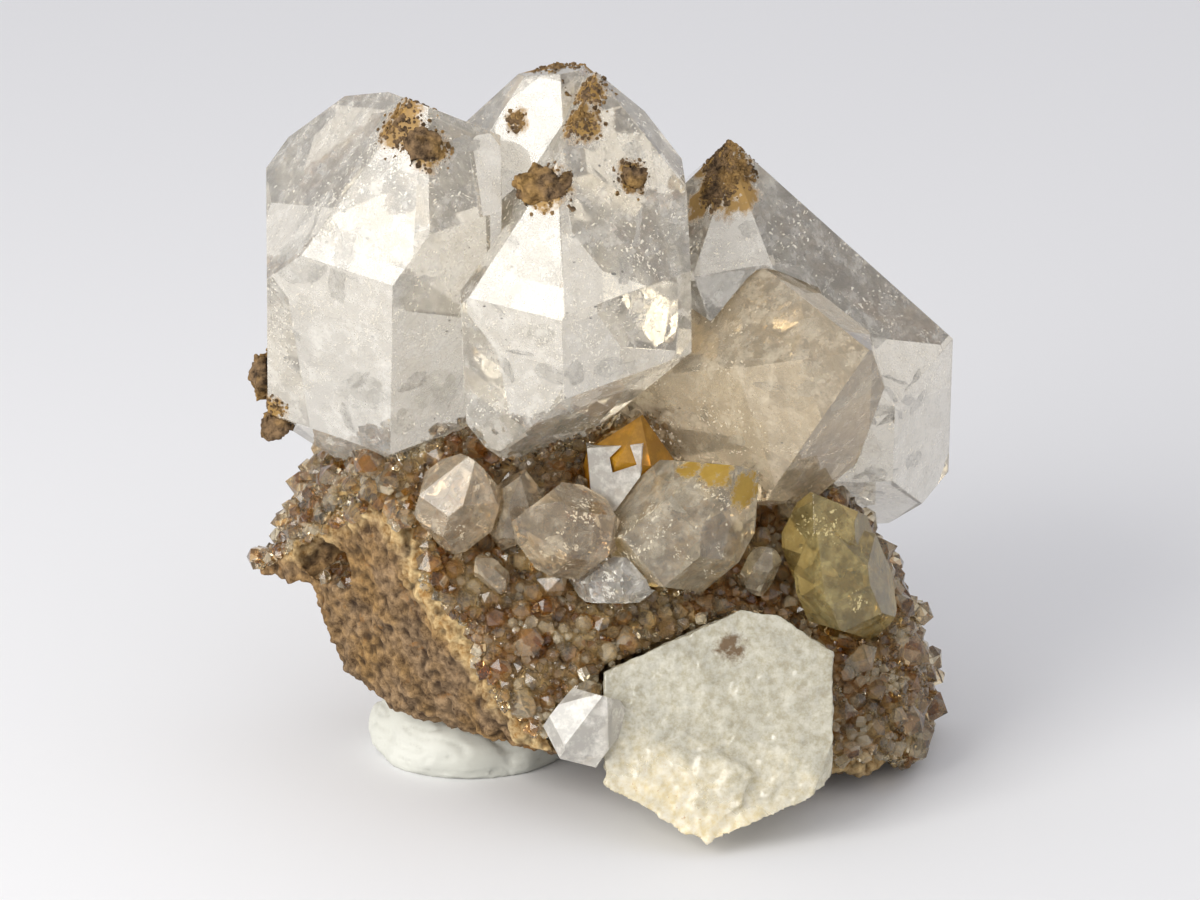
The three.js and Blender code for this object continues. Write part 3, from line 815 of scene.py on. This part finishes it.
def veilMaterialWithPaintedGlow():
    # healed cracks: sheets of tiny fluid pockets that scatter white, with a painted glow
    material = newMaterial("healed_crack_veils_painted_glow")
    place = addNode(material, "TexCoord").outputs["Object"]
    tone = addNode(material, "TexNoise", {"Vector": place, "Scale": perMetre(2), "Detail": 3})
    colour = addNode(material, "Mix", {
        "Factor": tone.outputs["Fac"], "A": linear("#d9d6cf"), "B": linear("#ffffff")}, data_type="RGBA")
    shader = addNode(material, "BsdfPrincipled", {
        "Base Color": colour.outputs["Result"], "Roughness": 0.3, "Transmission Weight": 0.25, "IOR": 1.3,
        # painted glow: a faint emission stands in for light scattered on from pocket to pocket
        "Emission Color": linear("#fffaf0"), "Emission Strength": 0.3})
    addNode(material, "OutputMaterial", {"Surface": shader.outputs[0]})
    return material


def filmMaterial():
    # open cracks: air films, silvery with faint colours
    material = newMaterial("crack_air_films")
    place = addNode(material, "TexCoord").outputs["Object"]
    tone = addNode(material, "TexNoise", {
        "Vector": place, "Scale": perMetre(1.2), "Detail": 5, "Roughness": 0.7})
    rough = addNode(material, "MapRange", {"Value": tone.outputs["Fac"], "To Min": 0.02, "To Max": 0.3})
    clarity = addNode(material, "MapRange", {
        "Value": tone.outputs["Fac"], "From Min": 0.35, "From Max": 0.65, "To Min": 0.98, "To Max": 0.6})
    shader = addNode(material, "BsdfPrincipled", {
        "Base Color": linear("#fbfbfb"), "Roughness": rough.outputs[0],
        "Transmission Weight": clarity.outputs[0], "IOR": 1.35,
        "Thin Film Thickness": 420.0, "Thin Film IOR": 1.33})
    addNode(material, "OutputMaterial", {"Surface": shader.outputs[0]})
    return material


def speckMaterial():
    # black carbon specks: small, soft black, faintly shiny
    material = newMaterial("carbon_specks")
    place = addNode(material, "TexCoord").outputs["Object"]
    tone = addNode(material, "TexNoise", {"Vector": place, "Scale": perMetre(0.5), "Detail": 3})
    colour = addNode(material, "Mix", {
        "Factor": tone.outputs["Fac"], "A": linear("#0d0b09"), "B": linear("#3a3128")}, data_type="RGBA")
    shader = addNode(material, "BsdfPrincipled", {"Base Color": colour.outputs["Result"], "Roughness": 0.45})
    addNode(material, "OutputMaterial", {"Surface": shader.outputs[0]})
    return material


def placeInside(tree, low, high, depth, rng):
    for _ in range(400):
        point = Vector([rng.uniform(a, b) for a, b in zip(low, high)])
        if depthIn(tree, point) > depth:
            return point
    return None


def flakeTemplate(thickness):
    # a thin five sided flake, one unit in radius
    bm = bmesh.new()
    bmesh.ops.create_uvsphere(bm, u_segments=5, v_segments=2, radius=1)
    bmesh.ops.scale(bm, vec=(1, 0.85, thickness), verts=bm.verts)
    template = bpy.data.meshes.new("flake")
    bm.to_mesh(template)
    bm.free()
    return template


def growVeils(rng):
    flake = flakeTemplate(0.16)
    bm = bmesh.new()
    for nodeName, (sheets, count, radius) in inside["veils"].items():
        tree, (low, high) = trees[nodeName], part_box(nodeName)
        for _ in range(sheets):
            middle = placeInside(tree, low, high, 0.8 * mm, rng)
            if middle is None:
                continue
            normal = randomTurn(rng)
            across = normal.orthogonal().normalized()
            along = normal.cross(across)
            wide, tall = radius * rng.uniform(0.4, 1.0), radius * rng.uniform(0.25, 0.8)
            bend = rng.uniform(-0.06, 0.06)
            for _ in range(count):
                u, v = rng.gauss(0, 0.45) * wide, rng.gauss(0, 0.45) * tall
                lift = bend * (u * u + v * v) + 0.35 * noise.noise(Vector((u, v, middle.x * 900)))
                spot = middle + (across * u + along * v + normal * lift) * mm
                if depthIn(tree, spot) < inside["keepOff"] * mm:
                    continue
                size = inside["flake"][0] + (inside["flake"][1] - inside["flake"][0]) * rng.random() ** 3
                axis = (normal + randomTurn(rng) * 0.4).normalized()
                spin, stretch = rng.uniform(0, 6), rng.uniform(0.8, 2.2)
                plant(bm, flake, spot, axis, spin, (size * mm * stretch, size * mm, size * mm))
    return bm


def growFilms(rng):
    bm = bmesh.new()
    for nodeName, (count, radius) in inside["films"].items():
        tree, (low, high) = trees[nodeName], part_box(nodeName)
        for _ in range(count):
            middle = placeInside(tree, low, high, 0.5 * radius * mm, rng)
            if middle is None:
                continue
            film = bmesh.new()
            size = radius * rng.uniform(0.35, 1.0)
            bmesh.ops.create_circle(film, cap_ends=True, segments=28, radius=size * mm)
            bmesh.ops.poke(film, faces=film.faces)
            bmesh.ops.subdivide_edges(film, edges=film.edges, cuts=2, use_grid_fill=True)
            seedAt = Vector((rng.uniform(0, 90), rng.uniform(0, 90), 0))
            for vert in film.verts:
                p = vert.co / (size * mm)
                ragged = 1 + 0.35 * noise.noise(p * 1.6 + seedAt)
                warp = 0.25 * size * mm * noise.noise(p * 0.9 - seedAt)
                vert.co = Vector((vert.co.x * ragged, vert.co.y * ragged * 0.7, warp))
            bmesh.ops.solidify(film, geom=film.faces[:], thickness=0.02 * mm)
            bmesh.ops.recalc_face_normals(film, faces=film.faces)
            turn = randomTurn(rng).to_track_quat("Z", "Y").to_matrix().to_4x4()
            bmesh.ops.transform(film, matrix=Matrix.Translation(middle) @ turn, verts=film.verts)
            if all(depthIn(tree, v.co) > 0.1 * mm for v in film.verts):
                part = bpy.data.meshes.new("film")
                film.to_mesh(part)
                bm.from_mesh(part)
                bpy.data.meshes.remove(part)
            film.free()
    return bm


def growSpecks(rng):
    speck = grainTemplate("speck", 0.7)
    bm = bmesh.new()
    for nodeName, count in inside["specks"].items():
        tree, (low, high) = trees[nodeName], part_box(nodeName)
        for _ in range(count):
            spot = placeInside(tree, low, high, 0.25 * mm, rng)
            if spot is not None:
                size = rng.uniform(0.05, 0.16) * mm
                plant(bm, speck, spot, randomTurn(rng), 0, (size * rng.uniform(1, 2), size, size))
    return bm


insideRng = random.Random(inside["seed"])
finishPiece("crystal_veils", growVeils(insideRng), veilMaterialWithPaintedGlow())
finishPiece("crystal_crack_films", growFilms(insideRng), filmMaterial())
finishPiece("crystal_specks", growSpecks(insideRng), speckMaterial())
print("inclusions: done")


# the pinch of putty under the rock
putty = {"voxel": 0.3, "dent": 0.35, "crease": 0.22}


def puttyMaterial():
    # display putty: chalky greenish white, matt, finger pressed
    material = newMaterial("pressed_display_putty")
    place = addNode(material, "TexCoord").outputs["Object"]
    broad = addNode(material, "TexNoise", {"Vector": place, "Scale": perMetre(4), "Detail": 5})
    fine = addNode(material, "TexNoise", {
        "Vector": place, "Scale": perMetre(0.6), "Detail": 5, "Roughness": 0.65})
    colour = addNode(material, "Mix", {
        "Factor": broad.outputs["Fac"], "A": linear("#cdcdc2"), "B": linear("#e2e2d9")}, data_type="RGBA")
    bump = addNode(material, "Bump", {"Strength": 0.4, "Distance": 0.08 * mm, "Height": fine.outputs["Fac"]})
    shader = addNode(material, "BsdfPrincipled", {
        "Base Color": colour.outputs["Result"], "Roughness": 0.8, "Specular IOR Level": 0.35,
        "Normal": bump.outputs[0]})
    addNode(material, "OutputMaterial", {"Surface": shader.outputs[0]})
    return material


def puttyHeight(p):
    if p.z < 0.35:
        return 0.0  # stays flat where it stands
    dents = putty["dent"] * noise.noise(p / 2.4)
    folds = -putty["crease"] * max(0, 1 - abs(noise.noise(Vector((p.x / 5, p.y / 5, p.z / 0.9)))) * 9)
    return dents + folds


pressed = denseSkin(copyOf("display_putty"), putty["voxel"])
raiseSkin(pressed, puttyHeight)
finishPiece("pressed_putty", pressed, puttyMaterial(), ["display_putty"], smooth=True)
print("putty: done")
